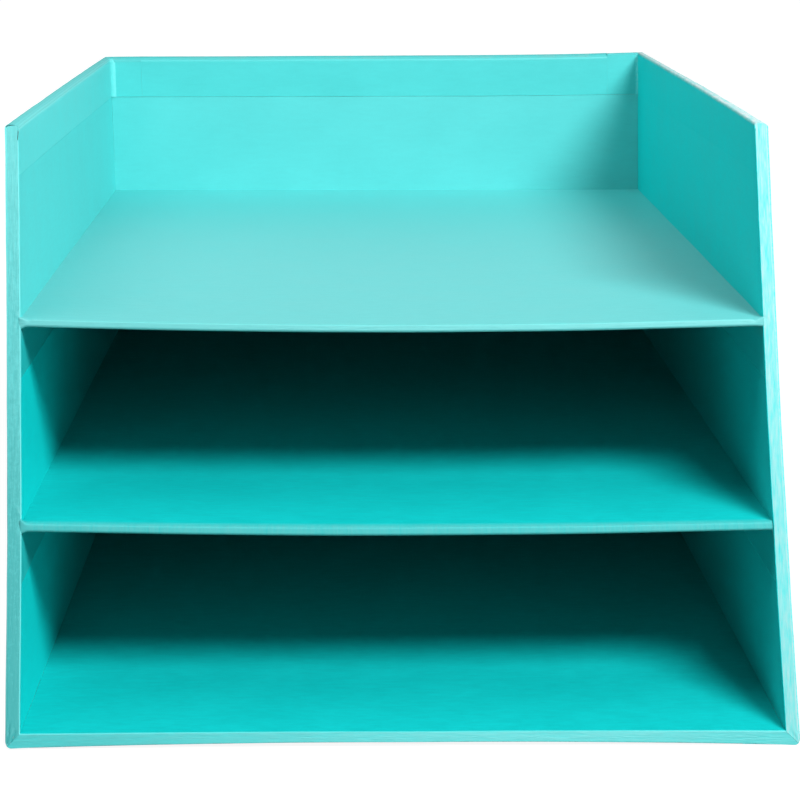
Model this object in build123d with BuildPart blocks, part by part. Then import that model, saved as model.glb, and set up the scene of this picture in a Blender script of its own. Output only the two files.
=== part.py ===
from build123d import *
import os

# Letter tray with three tiers, built of glued boards and covered all over with paper.
# Millimetres. Origin at the middle of the footprint, on the underside.
# +X is to the right as seen from the open front, +Y to the back, +Z up.

# Driving sizes of the tray
width = 245.0  # outside, side to side
depth = 345.0  # outside, front to back along the foot
tier_clear = 59.7  # free height of each closed tier, at the walls
top_rise = 60.4  # walls above the upper shelf
front_setback = 64.0  # the rim's front corners stand this far behind the foot
corner_radius = 2.0  # outside rounding of the two long bottom edges
shelf_sag = 1.75  # droop of each shelf's front edge at mid-width

# Boards and paper
side_board_t = 4.0
back_board_t = 3.5
base_board_t = 3.7
shelf_board_t = 1.5
paper_t = 0.25

# Folds and seams of the paper
rim_turn_in = 16.0  # folded over the rim and down the inside
glue_flap = 16.0  # shelf paper turned down the walls below each shelf
corner_flap = 18.0  # carried round the rear corners and under the base
front_lip = 0.6  # strip of the front fold that shows beside each lining
seam_gap = 0.2  # hairline between sheets that butt

# Levels
base_top_z = paper_t + base_board_t
floor_z = base_top_z + paper_t
shelf_t = shelf_board_t + 2 * paper_t
lower_z = floor_z + tier_clear + shelf_t
upper_z = lower_z + tier_clear + shelf_t
height = upper_z + top_rise
rim_z = height - paper_t

# Faces of the walls
half_width = width / 2
board_out_x = half_width - paper_t
board_in_x = board_out_x - side_board_t
wall_in_x = board_in_x - paper_t
flap_edge_x = half_width - corner_flap
sheet_edge_x = flap_edge_x - seam_gap
back_y = depth / 2
board_back_y = back_y - paper_t
board_face_y = board_back_y - back_board_t
wall_face_y = board_face_y - paper_t
under_edge_y = back_y - corner_flap

# Leaning front: the outside of the paper, the boards' edges, and where lips end and linings start
front = Plane((0, -depth / 2, 0), x_dir=(1, 0, 0), z_dir=(0, -height, front_setback))
board_front = front.offset(-paper_t)
lip_end = front.offset(-front_lip)
lining_front = front.offset(-front_lip - seam_gap)

# Heights on each tier's walls: its floor, the top of the front lip and the end of the fold above
tiers = {
    "bottom": (floor_z, lower_z - shelf_t - seam_gap, lower_z - shelf_t - glue_flap),
    "middle": (lower_z, upper_z - shelf_t - seam_gap, upper_z - shelf_t - glue_flap),
    "top": (upper_z, height, height - rim_turn_in),
}


def upright(y: float) -> Plane:
    """Plane across the tray at y, seen from the front."""
    return Plane.XZ.offset(-y)


def up_the_front(plane: Plane, z: float) -> float:
    """Distance along a leaning plane to the height z."""
    return (z - plane.origin.Z) / plane.y_dir.Z


# Outside of the tray seen from the front, with its rounded bottom corners
with BuildSketch(Plane.XZ) as outline:
    Rectangle(width, height, align=(Align.CENTER, Align.MIN))
    fillet(outline.vertices().group_by(Axis.Y)[0], corner_radius)


def front_layer(points: list[tuple[float, float]], behind: Plane) -> Part:
    """Paper on the leaning front, from its outside back to a plane.

    Args:
        points: corners of the layer as seen from the front.
        behind: plane where the layer ends.
    Returns:
        The layer, cut to the tray's outline.
    """
    with BuildPart() as layer:
        with BuildSketch(upright(back_y)):
            with BuildLine():
                Polyline(*points, close=True)
            make_face()
        extrude(amount=depth)
        split(bisect_by=front, keep=Keep.BOTTOM)
        split(bisect_by=behind, keep=Keep.TOP)
        extrude(outline.sketch, amount=depth, both=True, mode=Mode.INTERSECT)
    return layer.part


def shelf_body(nose: Plane, low_z: float, high_z: float) -> Part:
    """Panel between the side boards, straight at the back board and drooping at its nose.

    Args:
        nose: plane of the panel's front edge.
        low_z: height of its underside at the walls.
        high_z: height of its top at the walls.
    Returns:
        The panel.
    """
    with BuildPart() as body:
        with BuildSketch(nose):
            with BuildLine():
                for z in (low_z, high_z):
                    end = up_the_front(nose, z)
                    middle = up_the_front(nose, z - shelf_sag)
                    ThreePointArc((-board_in_x, end), (0, middle), (board_in_x, end))
                for x in (-board_in_x, board_in_x):
                    Line((x, up_the_front(nose, low_z)), (x, up_the_front(nose, high_z)))
            make_face()
        with BuildSketch(upright(board_face_y)):
            with Locations((0, low_z)):
                Rectangle(2 * board_in_x, high_z - low_z, align=(Align.CENTER, Align.MIN))
        loft(ruled=True)
    return body.part


def shelf_cover(top_z: float) -> Part:
    """Paper round a shelf: top, front edge and underside, with flaps glued to the three walls."""
    under_z = top_z - shelf_t
    flap_top_z = under_z + paper_t / 2
    with BuildPart() as flaps:
        with BuildSketch(Plane.XY.offset(flap_top_z)):
            with Locations((0, board_face_y)):
                Rectangle(2 * board_in_x, depth, align=(Align.CENTER, Align.MAX))
            with Locations((0, wall_face_y)):
                Rectangle(2 * wall_in_x, depth, align=(Align.CENTER, Align.MAX), mode=Mode.SUBTRACT)
        extrude(amount=-(glue_flap + paper_t / 2))
        split(bisect_by=lining_front, keep=Keep.BOTTOM)
    with BuildPart() as cover:
        add(shelf_body(front, under_z, top_z))
        add(shelf_body(board_front, under_z + paper_t, top_z - paper_t), mode=Mode.SUBTRACT)
        add(flaps.part)
    return cover.part


def side_sheet(with_turn_in: bool, from_y: float, to_plane: Plane) -> Part:
    """Side paper folded over the rim, down the outside and round under the base.

    Args:
        with_turn_in: whether the fold over the rim goes on down the inside.
        from_y: where the sheet ends at the back.
        to_plane: plane where it ends at the front.
    Returns:
        The left side's sheet.
    """
    bend = corner_radius - paper_t
    with BuildPart() as sheet:
        with BuildSketch(upright(from_y)):
            with BuildLine():
                if with_turn_in:
                    Line((-board_in_x, height - rim_turn_in), (-board_in_x, rim_z))
                Line((-board_in_x, rim_z), (-board_out_x, rim_z))
                Line((-board_out_x, rim_z), (-board_out_x, paper_t + bend))
                corner = RadiusArc((-board_out_x, paper_t + bend), (bend - board_out_x, paper_t), -bend)
                Line(corner @ 1, (-flap_edge_x, paper_t))
                offset(amount=paper_t, side=Side.RIGHT, kind=Kind.INTERSECTION)
            make_face()
        extrude(amount=depth)
        split(bisect_by=to_plane, keep=Keep.BOTTOM)
    return sheet.part


def back_sheet(from_x: float, to_x: float, under: bool) -> Part:
    """Back paper folded over the rim, down the outside and, on the full sheet, under the base.

    Args:
        from_x: left edge of the sheet.
        to_x: right edge of the sheet.
        under: whether it turns under the base.
    Returns:
        The sheet.
    """
    with BuildPart() as sheet:
        with BuildSketch(Plane.YZ.offset(from_x)):
            with BuildLine():
                Line((board_face_y, height - rim_turn_in), (board_face_y, rim_z))
                Line((board_face_y, rim_z), (board_back_y, rim_z))
                Line((board_back_y, rim_z), (board_back_y, paper_t))
                if under:
                    Line((board_back_y, paper_t), (under_edge_y, paper_t))
                offset(amount=paper_t, side=Side.LEFT, kind=Kind.INTERSECTION)
            make_face()
        extrude(amount=to_x - from_x)
    return sheet.part


# Base board, with its long bottom edges rounded
with BuildPart() as base_board:
    with BuildSketch(upright(board_back_y)):
        with Locations((0, paper_t)):
            edge = Rectangle(2 * board_out_x, base_board_t, align=(Align.CENTER, Align.MIN))
        fillet(edge.vertices().group_by(Axis.Y)[0], corner_radius - paper_t)
    extrude(amount=depth)
    split(bisect_by=board_front, keep=Keep.BOTTOM)

# Side boards stand on the base and lean back along their front edges
with BuildPart() as left_side_board:
    with BuildSketch(Plane.YZ.offset(-board_out_x)):
        with Locations((board_back_y, base_top_z)):
            Rectangle(depth, rim_z - base_top_z, align=(Align.MAX, Align.MIN))
    extrude(amount=side_board_t)
    split(bisect_by=board_front, keep=Keep.BOTTOM)

with BuildPart() as right_side_board:
    mirror(left_side_board.part, about=Plane.YZ)

# Back board stands on the base, between the sides
with BuildPart() as back_board:
    with BuildSketch(upright(board_back_y)):
        with Locations((0, base_top_z)):
            Rectangle(2 * board_in_x, rim_z - base_top_z, align=(Align.CENTER, Align.MIN))
    extrude(amount=back_board_t)

# Side covers: the folded sheet, its flap round the rear corner, the front strip and its lips
with BuildPart() as left_side_cover:
    add(side_sheet(True, board_face_y, board_front))
    add(side_sheet(False, back_y, upright(board_face_y)))
    add(back_sheet(-board_in_x, -flap_edge_x, False))
    with BuildSketch(upright(back_y)):
        with Locations((-half_width, 0)):
            Rectangle(paper_t + side_board_t, height, align=Align.MIN)
        add(outline.sketch, mode=Mode.INTERSECT)
    extrude(amount=paper_t)
    strip = [(-half_width, 0), (-board_in_x, base_top_z), (-board_in_x, height), (-half_width, height)]
    add(front_layer(strip, board_front))
    for stand_z, lip_z, _ in tiers.values():
        lip = [(-board_in_x, stand_z), (-wall_in_x, stand_z), (-wall_in_x, lip_z), (-board_in_x, lip_z)]
        add(front_layer(lip, lip_end))

with BuildPart() as right_side_cover:
    mirror(left_side_cover.part, about=Plane.YZ)

# Back cover, between the flaps of the side covers
with BuildPart() as back_cover:
    add(back_sheet(-sheet_edge_x, sheet_edge_x, True))

# Base cover: underside, front strip with mitred ends, and the lip on top of it
with BuildPart() as base_cover:
    with BuildSketch(Plane.XY):
        with Locations((0, under_edge_y - seam_gap)):
            Rectangle(2 * sheet_edge_x, depth, align=(Align.CENTER, Align.MAX))
    extrude(amount=paper_t)
    split(bisect_by=front, keep=Keep.BOTTOM)
    strip = [(-half_width, 0), (half_width, 0), (board_in_x, base_top_z), (-board_in_x, base_top_z)]
    add(front_layer(strip, board_front))
    lip = [(-board_in_x, base_top_z), (board_in_x, base_top_z), (board_in_x, floor_z), (-board_in_x, floor_z)]
    add(front_layer(lip, lip_end))

# Floor lining
with BuildPart() as floor_lining:
    with BuildSketch(Plane.XY.offset(base_top_z)):
        with Locations((0, board_face_y)):
            Rectangle(2 * board_in_x, depth, align=(Align.CENTER, Align.MAX))
    extrude(amount=paper_t)
    split(bisect_by=lining_front, keep=Keep.BOTTOM)

pieces = {
    "base_board": base_board.part,
    "left_side_board": left_side_board.part,
    "right_side_board": right_side_board.part,
    "back_board": back_board.part,
    "left_side_cover": left_side_cover.part,
    "right_side_cover": right_side_cover.part,
    "back_cover": back_cover.part,
    "base_cover": base_cover.part,
    "floor_lining": floor_lining.part,
}

# Shelves: a board and its cover each
for name, top_z in (("lower", lower_z), ("upper", upper_z)):
    pieces[f"{name}_shelf_board"] = shelf_body(board_front, top_z - shelf_t + paper_t, top_z - paper_t)
    pieces[f"{name}_shelf_cover"] = shelf_cover(top_z)

# Wall linings of each tier, up to the fold above
for name, (stand_z, _, fold_z) in tiers.items():
    lining_rise = fold_z - seam_gap - stand_z
    with BuildPart() as left_lining:
        with BuildSketch(Plane.YZ.offset(-board_in_x)):
            with Locations((board_face_y, stand_z)):
                Rectangle(depth, lining_rise, align=(Align.MAX, Align.MIN))
        extrude(amount=paper_t)
        split(bisect_by=lining_front, keep=Keep.BOTTOM)
    with BuildPart() as right_lining:
        mirror(left_lining.part, about=Plane.YZ)
    with BuildPart() as back_lining:
        with BuildSketch(upright(board_face_y)):
            with Locations((0, stand_z)):
                Rectangle(2 * wall_in_x, lining_rise, align=(Align.CENTER, Align.MIN))
        extrude(amount=paper_t)
    pieces[f"left_lining_{name}"] = left_lining.part
    pieces[f"right_lining_{name}"] = right_lining.part
    pieces[f"back_lining_{name}"] = back_lining.part

os.makedirs("parts", exist_ok=True)
for name, piece in pieces.items():
    piece.label = name
    export_step(piece, f"parts/{name}.step")
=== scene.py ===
"""A letter tray of paper-covered board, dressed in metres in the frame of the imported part."""

import logging
import math
from dataclasses import dataclass, replace
from enum import Enum
from typing import Callable, Iterable, Optional, Sequence, Union

import bmesh
import bpy
import numpy as np
from mathutils import Matrix, Vector, noise


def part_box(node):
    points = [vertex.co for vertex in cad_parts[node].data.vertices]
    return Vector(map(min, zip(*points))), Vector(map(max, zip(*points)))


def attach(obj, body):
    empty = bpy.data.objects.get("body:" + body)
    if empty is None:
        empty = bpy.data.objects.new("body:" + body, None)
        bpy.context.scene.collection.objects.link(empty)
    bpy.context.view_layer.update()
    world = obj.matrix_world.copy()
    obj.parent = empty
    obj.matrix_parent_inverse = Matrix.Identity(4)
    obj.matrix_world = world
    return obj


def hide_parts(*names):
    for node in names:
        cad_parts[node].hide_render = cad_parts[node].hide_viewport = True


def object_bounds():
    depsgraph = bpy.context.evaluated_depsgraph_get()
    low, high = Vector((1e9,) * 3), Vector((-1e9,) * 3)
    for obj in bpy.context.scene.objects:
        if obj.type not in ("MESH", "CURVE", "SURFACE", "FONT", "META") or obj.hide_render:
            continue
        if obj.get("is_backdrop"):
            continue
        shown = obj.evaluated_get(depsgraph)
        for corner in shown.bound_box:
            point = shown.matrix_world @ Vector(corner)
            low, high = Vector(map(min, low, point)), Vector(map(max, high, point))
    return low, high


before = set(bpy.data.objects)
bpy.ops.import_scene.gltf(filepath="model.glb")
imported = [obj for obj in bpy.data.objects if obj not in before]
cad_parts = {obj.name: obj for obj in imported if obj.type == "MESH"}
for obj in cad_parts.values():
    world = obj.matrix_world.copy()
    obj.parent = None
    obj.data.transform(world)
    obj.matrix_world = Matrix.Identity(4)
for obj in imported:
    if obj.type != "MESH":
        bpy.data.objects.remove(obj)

log = logging.getLogger("letter_tray")
MM = 0.001
BODY = "root"
# The noise takes its seed from the clock unless it is given one
NOISE_SEED = 11
# Distances at which a point counts as lying on a face, on a cutting plane and on a level
TOUCH = 1e-6
CUT_SLACK = 1e-7
LEVEL_SLACK = 0.01 * MM
# Paper edges lower than this lie on the table
TABLE_BAND = 1 * MM
# Edges sharper than this stay sharp in the shading, where wide faces outweigh narrow ones
SOFT_UP_TO = math.radians(35.0)
FLAT_WEIGHT = 90
Point = Union[Vector, Sequence[float]]
Triple = tuple[float, float, float]
Piece = bpy.types.Object
Material = bpy.types.Material
Shape = bmesh.types.BMesh
Face, Edge, Corner = bmesh.types.BMFace, bmesh.types.BMEdge, bmesh.types.BMVert
MeshPart = Union[Face, Edge, Corner]


def unit(value: float) -> float:
    """The value held between 0 and 1."""
    return min(1.0, max(0.0, value))


def off_table(spot: Vector) -> bool:
    """Whether a paper edge is free to lift."""
    return spot.z > TABLE_BAND


class Side(Enum):
    """The two side walls, by the sign of their x."""

    LEFT = -1
    RIGHT = 1


class FibreRun(Enum):
    """The way the paper's fibres lie on a piece: marks per metre along x, y and z."""

    ACROSS = (170.0, 620.0, 760.0)
    DEEP = (700.0, 190.0, 760.0)


class PaperTone(Enum):
    """Light and dark of the paper's fibre.

    As made, then copies standing in for light and shade: darker (painted shade), paler (painted sheen),
    lighter and paler (painted light and sheen), lighter (painted light), the floor's darker one and the lower
    shelf's deeper one (painted shade), and the upper shelf's paler one (painted sheen).
    """

    FRESH = ((0.022, 0.75, 0.75), (0.014, 0.66, 0.66))
    PAINTED_SHADE = ((0.02, 0.71, 0.71), (0.013, 0.62, 0.62))
    PAINTED_SHEEN = ((0.10, 0.71, 0.71), (0.085, 0.63, 0.63))
    PAINTED_LIGHT_SHEEN = ((0.148, 0.86, 0.86), (0.126, 0.767, 0.767))
    PAINTED_LIGHT = ((0.005, 0.84, 0.84), (0.003, 0.75, 0.75))
    MOTTLED_PAINTED_SHADE = ((0.004, 0.65, 0.65), (0.002, 0.53, 0.53))
    DEEP_PAINTED_SHADE = ((0.004, 0.63, 0.63), (0.002, 0.52, 0.52))
    RUBBED = ((0.098, 0.67, 0.67), (0.084, 0.595, 0.595))


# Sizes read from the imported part


def node_points(node: str) -> np.ndarray:
    """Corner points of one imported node, one row each."""
    return np.array([tuple(v.co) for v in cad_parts[node].data.vertices])


@dataclass(frozen=True)
class TraySizes:
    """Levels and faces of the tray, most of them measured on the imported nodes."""

    half_width: float
    height: float
    front_y: float
    back_y: float
    setback: float
    wall_x: float
    wall_y: float
    paper: float
    floor_z: float
    lower_z: float
    upper_z: float
    shelf_t: float
    sag: float
    glue_flap: float
    turn_in: float
    flap_x: float
    sheet_x: float
    under_y: float
    base_sheet_y: float
    turn_in_gain: float = 1.9 * MM
    seam: float = 0.2 * MM
    front_lip: float = 0.6 * MM
    corner_radius: float = 2.0 * MM

    @classmethod
    def measured(cls) -> "TraySizes":
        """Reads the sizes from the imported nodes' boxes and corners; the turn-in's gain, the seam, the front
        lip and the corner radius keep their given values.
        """
        low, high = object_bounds()
        side = node_points("right_side_cover")
        rim = side[side[:, 2] > high[2] - LEVEL_SLACK]
        lining_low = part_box("right_lining_top")[0]
        back_low, back_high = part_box("back_lining_top")
        floor_low, floor_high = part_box("floor_lining")
        cover_low, cover_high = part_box("upper_shelf_cover")
        board = node_points("upper_shelf_board")
        board_rear = board[board[:, 1] > board[:, 1].max() - LEVEL_SLACK]
        paper = floor_high.z - floor_low.z
        shelf_t = float(np.ptp(board_rear[:, 2])) + 2 * paper
        return cls(
            half_width=high[0],
            height=high[2],
            front_y=low[1],
            back_y=high[1],
            setback=float(rim[:, 1].min()) - low[1],
            wall_x=lining_low.x,
            wall_y=back_low.y,
            paper=paper,
            floor_z=floor_high.z,
            lower_z=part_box("lower_shelf_cover")[1].z,
            upper_z=cover_high.z,
            shelf_t=shelf_t,
            sag=float(board_rear[:, 2].min() - board[:, 2].min()),
            glue_flap=cover_high.z - shelf_t - cover_low.z,
            turn_in=high[2] - back_high.z - cls.seam,
            flap_x=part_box("right_side_cover")[0].x,
            sheet_x=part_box("back_cover")[1].x,
            under_y=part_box("back_cover")[0].y,
            base_sheet_y=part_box("base_cover")[1].y,
        )

    @property
    def lean(self) -> float:
        """How far the front goes back for each unit of height."""
        return self.setback / self.height

    def front_at(self, z: float, behind: float = 0.0) -> float:
        """Y of the leaning front at a height.

        Args:
            z: the height.
            behind: distance inside the front, square to it.
        Returns:
            The y of that point.
        """
        return self.front_y + self.lean * z + behind * math.hypot(1.0, self.lean)

    @property
    def front_normal(self) -> Vector:
        """Direction that the leaning front faces."""
        return Vector((0.0, -1.0, self.lean)).normalized()


# Node trees written as plain arithmetic


class Wire:
    """One output of a node, which takes part in sums and products as a number does."""

    def __init__(self, sheet: "NodeSheet", socket: bpy.types.NodeSocket) -> None:
        """Keeps the tree and the socket."""
        self.sheet = sheet
        self.socket = socket

    def _math(self, operation: str, *terms: Union["Wire", float]) -> "Wire":
        """A Math node on these terms."""
        return self.sheet.add("ShaderNodeMath", {"operation": operation}, dict(enumerate(terms)))

    def __add__(self, other: Union["Wire", float]) -> "Wire":
        """Sum."""
        return self._math("ADD", self, other)

    def __sub__(self, other: Union["Wire", float]) -> "Wire":
        """Difference."""
        return self._math("SUBTRACT", self, other)

    def __rsub__(self, other: float) -> "Wire":
        """Difference from a number."""
        return self._math("SUBTRACT", other, self)

    def __mul__(self, other: Union["Wire", float]) -> "Wire":
        """Product."""
        return self._math("MULTIPLY", self, other)

    def __truediv__(self, other: Union["Wire", float]) -> "Wire":
        """Quotient."""
        return self._math("DIVIDE", self, other)

    def __pow__(self, other: float) -> "Wire":
        """Power."""
        return self._math("POWER", self, other)

    __radd__ = __add__
    __rmul__ = __mul__

    def beside(self, output: str) -> "Wire":
        """Another output of the same node."""
        return Wire(self.sheet, self.socket.node.outputs[output])

    def clamped(self) -> "Wire":
        """The value held between 0 and 1."""
        return self.sheet.add("ShaderNodeClamp", {}, {"Value": self})


class NodeSheet:
    """A node tree, shader or geometry, that is filled through one method."""

    def __init__(self, tree: bpy.types.NodeTree) -> None:
        """Keeps the tree."""
        self.tree = tree

    def add(self, kind: str, settings: dict, sockets: dict, output: Union[int, str] = 0) -> Wire:
        """Adds one node.

        Args:
            kind: the node's type.
            settings: its own properties, set first; "stops" fills a ramp.
            sockets: a value or a wire for each input, by name or by number.
            output: which output to hand back.
        Returns:
            A wire from that output.
        """
        node = self.tree.nodes.new(kind)
        for key, value in settings.items():
            if key == "stops":
                self._fill_ramp(node.color_ramp, value)
            else:
                setattr(node, key, value)
        for key, value in sockets.items():
            if isinstance(value, Wire):
                self.tree.links.new(value.socket, node.inputs[key])
            else:
                node.inputs[key].default_value = value
        if not node.outputs:
            return Wire(self, None)
        return Wire(self, node.outputs[output])

    def mix(self, share: Wire, first: Union[Wire, Triple], second: Union[Wire, Triple]) -> Wire:
        """Mixes two colours.

        Args:
            share: how much there is of the second.
            first: a colour or a wire.
            second: a colour or a wire.
        Returns:
            A wire with the mixed colour.
        """
        pair = [colour if isinstance(colour, Wire) else (*colour, 1.0) for colour in (first, second)]
        return self.add("ShaderNodeMix", {"data_type": "RGBA"}, {0: share, 6: pair[0], 7: pair[1]}, 2)

    def mottle(self, place: Wire, scale: float, detail: float, roughness: float = 0.5) -> Wire:
        """Noise between 0 and 1 at a place."""
        values = {"Vector": place, "Scale": scale, "Detail": detail, "Roughness": roughness}
        return self.add("ShaderNodeTexNoise", {}, values)

    def bump(self, height: Wire, depth: float) -> Wire:
        """A fine relief of this depth."""
        return self.add("ShaderNodeBump", {}, {"Height": height, "Distance": depth, "Strength": 1.0})

    @staticmethod
    def _fill_ramp(ramp: bpy.types.ColorRamp, stops: Sequence[tuple]) -> None:
        """Puts a ramp's stops at their places, as (place, grey level) pairs."""
        while len(ramp.elements) < len(stops):
            ramp.elements.new(1.0)
        for element, (place, level) in zip(ramp.elements, stops):
            element.position = place
            element.color = (level, level, level, 1.0)


class ShapeSheet(NodeSheet):
    """A geometry node tree with named inputs."""

    def __init__(self, name: str, inputs: dict[str, Sequence[str]]) -> None:
        """Makes the tree with its inputs and one geometry output.

        Args:
            name: the tree's name.
            inputs: names of the inputs by their kind.
        """
        super().__init__(bpy.data.node_groups.new(name, "GeometryNodeTree"))
        face = self.tree.interface
        face.new_socket("Geometry", in_out="OUTPUT", socket_type="NodeSocketGeometry")
        self.keys = {
            label: face.new_socket(label, in_out="INPUT", socket_type=f"NodeSocket{kind}").identifier
            for kind, labels in inputs.items() for label in labels
        }
        self.entry = self.tree.nodes.new("NodeGroupInput")

    def given(self, name: str) -> Wire:
        """Wire from a named input."""
        return Wire(self, self.entry.outputs[name])

    def finish(self, shape: Wire) -> None:
        """Ends the tree with realised faces in the paper's material."""
        real = self.add("GeometryNodeRealizeInstances", {}, {"Geometry": shape})
        paper = self.given("Material")
        dressed = self.add("GeometryNodeSetMaterial", {}, {"Geometry": real, "Material": paper})
        self.add("NodeGroupOutput", {}, {"Geometry": dressed})

    def make(self, name: str, values: dict[str, object]) -> Piece:
        """Runs the tree once.

        Args:
            name: name of the new piece.
            values: a value for each named input.
        Returns:
            A piece with the result as a plain mesh.
        """
        piece = new_piece(name, bpy.data.meshes.new(name))
        modifier = piece.modifiers.new("shape", "NODES")
        modifier.node_group = self.tree
        for key, value in values.items():
            modifier[self.keys[key]] = value
        settle(piece)
        return piece


# Finishes


def blank_material(name: str) -> tuple[Material, NodeSheet]:
    """A new material and its node tree, still empty."""
    made = bpy.data.materials.new(name)
    made.use_nodes = True
    made.node_tree.nodes.clear()
    return made, NodeSheet(made.node_tree)


@dataclass(frozen=True)
class PaperFinish:
    """Matt turquoise paper with a fine fibre, in a tone that is often a lit or shaded copy (painted light and
    shade); paler on marked folds and strips, partly scuffing and partly a painted sheen and highlight; darker
    on marked strips towards the foot and on heavily marked rims, a painted shade.
    """

    name: str
    run: FibreRun
    tone: PaperTone = PaperTone.FRESH
    rubbed: Triple = (0.24, 0.7, 0.7)
    painted_shade_colour: Triple = (0.025, 0.42, 0.42)
    painted_shade_height: float = 190 * MM
    painted_shade_strength: float = 0.5
    roughness: float = 0.42
    specular: float = 0.95
    fibre_depth: float = 0.035 * MM
    grain: float = 0.9
    patches: float = 0.8
    streaks: Triple = (1500.0, 150.0, 150.0)
    cloud_scale: float = 55.0
    pore_scale: float = 1500.0
    refraction: float = 1.52

    def toned(self, tone: PaperTone) -> "PaperFinish":
        """The same paper in another tone."""
        return replace(self, name=f"{self.name}_{tone.name.lower()}", tone=tone)

    def material(self) -> Material:
        """Builds the material once and hands it back.

        Returns:
            The paper's material.
        """
        known = bpy.data.materials.get(self.name)
        if known:
            return known
        made, sheet = blank_material(self.name)
        place = sheet.add("ShaderNodeTexCoord", {}, {}, "Object")
        lain = sheet.add("ShaderNodeMapping", {}, {"Vector": place, "Scale": self.run.value})
        fibre = sheet.mottle(lain, 1.0, 5.0, 0.62)
        cloud = sheet.mottle(place, self.cloud_scale, 3.0)
        pore = sheet.mottle(place, self.pore_scale, 2.0)
        # Fold marks: paler on folds, partly scuffing and partly a painted highlight and sheen, and past one
        # also darker, a painted shade on the rims
        fold = sheet.add("ShaderNodeAttribute", {"attribute_name": "fold"}, {}, "Fac")
        cast = (fibre - 0.5) * self.grain + (cloud - 0.5) * self.patches + (pore - 0.5) * 0.3 + 0.5
        # Apart from the fresh one, each tone is a copy made lighter, paler or darker for where its piece
        # stands: painted light, sheen and shade
        light, dark = self.tone.value
        tint = sheet.mix(cast.clamped(), dark, light)
        # Strip marks, also on the noses and the upper shelf: paler streaks, partly rubbing and partly a
        # painted sheen
        edge = sheet.add("ShaderNodeAttribute", {"attribute_name": "rub"}, {}, "Fac")
        drawn = sheet.add("ShaderNodeMapping", {}, {"Vector": place, "Scale": self.streaks})
        streak = sheet.mottle(drawn, 1.0, 4.0, 0.65)
        scuff_sheen_share = (fold * (fibre * 0.5 - 0.06) + edge * (streak * 0.9 - 0.18)).clamped()
        scuff_and_sheen = sheet.mix(scuff_sheen_share, tint, self.rubbed)
        height = sheet.add("ShaderNodeSeparateXYZ", {}, {"Vector": place}, "Z")
        # Marked strips and heavily marked rims turn darker, towards the foot on the strips: a painted shade
        painted_shade_to_foot = edge * (1.5 - height / self.painted_shade_height) * (streak + fibre)
        painted_shade_share = (painted_shade_to_foot + (fold * 0.34 - 0.34).clamped()) * self.painted_shade_strength
        painted_shade_tint = sheet.mix(painted_shade_share.clamped(), scuff_and_sheen, self.painted_shade_colour)
        relief = fibre * 0.7 + pore * 0.3 + edge * streak * 4.0
        bump = sheet.bump(relief, self.fibre_depth)
        gloss = self.roughness + (cloud - 0.5) * 0.12 + (fibre - 0.5) * 0.1 + (fold + edge) * 0.1
        shader = sheet.add("ShaderNodeBsdfPrincipled", {}, {
            "Base Color": painted_shade_tint, "Roughness": gloss, "Normal": bump, "IOR": self.refraction,
            "Specular IOR Level": self.specular,
        })
        sheet.add("ShaderNodeOutputMaterial", {}, {"Surface": shader})
        return made


@dataclass(frozen=True)
class GreyboardFinish:
    """Raw recycled board: grey-brown, flecked, with pressed layers along its cut edges."""

    name: str = "raw_greyboard"
    colour: Triple = (0.45, 0.42, 0.37)
    fleck: Triple = (0.22, 0.2, 0.17)
    roughness: float = 0.9
    layer_scale: Triple = (400.0, 400.0, 2600.0)
    fleck_scale: float = 900.0
    pulp_depth: float = 0.1 * MM

    def material(self) -> Material:
        """Builds the material.

        Returns:
            The board's material.
        """
        made, sheet = blank_material(self.name)
        place = sheet.add("ShaderNodeTexCoord", {}, {}, "Object")
        layers = sheet.add("ShaderNodeMapping", {}, {"Vector": place, "Scale": self.layer_scale})
        pulp = sheet.mottle(layers, 1.0, 4.0)
        flecks = sheet.mottle(place, self.fleck_scale, 2.0)
        spots = sheet.add("ShaderNodeValToRGB", {"stops": ((0.58, 0.0), (0.66, 1.0))}, {"Fac": flecks})
        tint = sheet.mix(spots, self.colour, self.fleck)
        bump = sheet.bump(pulp, self.pulp_depth)
        shader = sheet.add("ShaderNodeBsdfPrincipled", {}, {
            "Base Color": tint, "Roughness": self.roughness - pulp * 0.1, "Normal": bump,
        })
        sheet.add("ShaderNodeOutputMaterial", {}, {"Surface": shader})
        return made


COVER_PAPER = PaperFinish("cover_paper_along_sides", FibreRun.DEEP)
CROSS_PAPER = PaperFinish("cover_paper_across", FibreRun.ACROSS, streaks=(150.0, 1500.0, 1500.0))
# For the right side, in shade: a lighter copy, a painted light, with near-white fold and strip marks, a
# painted sheen
SHADED_COVER_PAPER = replace(
    COVER_PAPER, name="cover_paper_shaded_side", tone=PaperTone.PAINTED_LIGHT, rubbed=(0.9, 0.83, 0.83), painted_shade_strength=0.1,
    roughness=0.55, specular=0.12,
)
SIDE_LINING = PaperFinish("lining_paper_along_sides", FibreRun.DEEP, roughness=0.55, specular=0.15)
CROSS_LINING = PaperFinish("lining_paper_across", FibreRun.ACROSS, roughness=0.44)
# For the lit left side: lighter and paler, a painted light and sheen, and darker towards the strip's foot, a
# painted shade
PAINTED_LIGHT_COVER_PAPER = replace(COVER_PAPER.toned(PaperTone.PAINTED_LIGHT_SHEEN), rubbed=(0.18, 0.7, 0.7), painted_shade_strength=0.8)
# The upper shelf: a paler copy, a painted sheen
UPPER_SHELF_PAPER = replace(CROSS_PAPER, name="cover_paper_upper_shelf", tone=PaperTone.RUBBED)
# The back: a paler copy, a painted sheen
BACK_PAPER = replace(
    CROSS_PAPER, name="cover_paper_back", tone=PaperTone.PAINTED_SHEEN, rubbed=(0.14, 0.68, 0.68), specular=0.4
)
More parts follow.
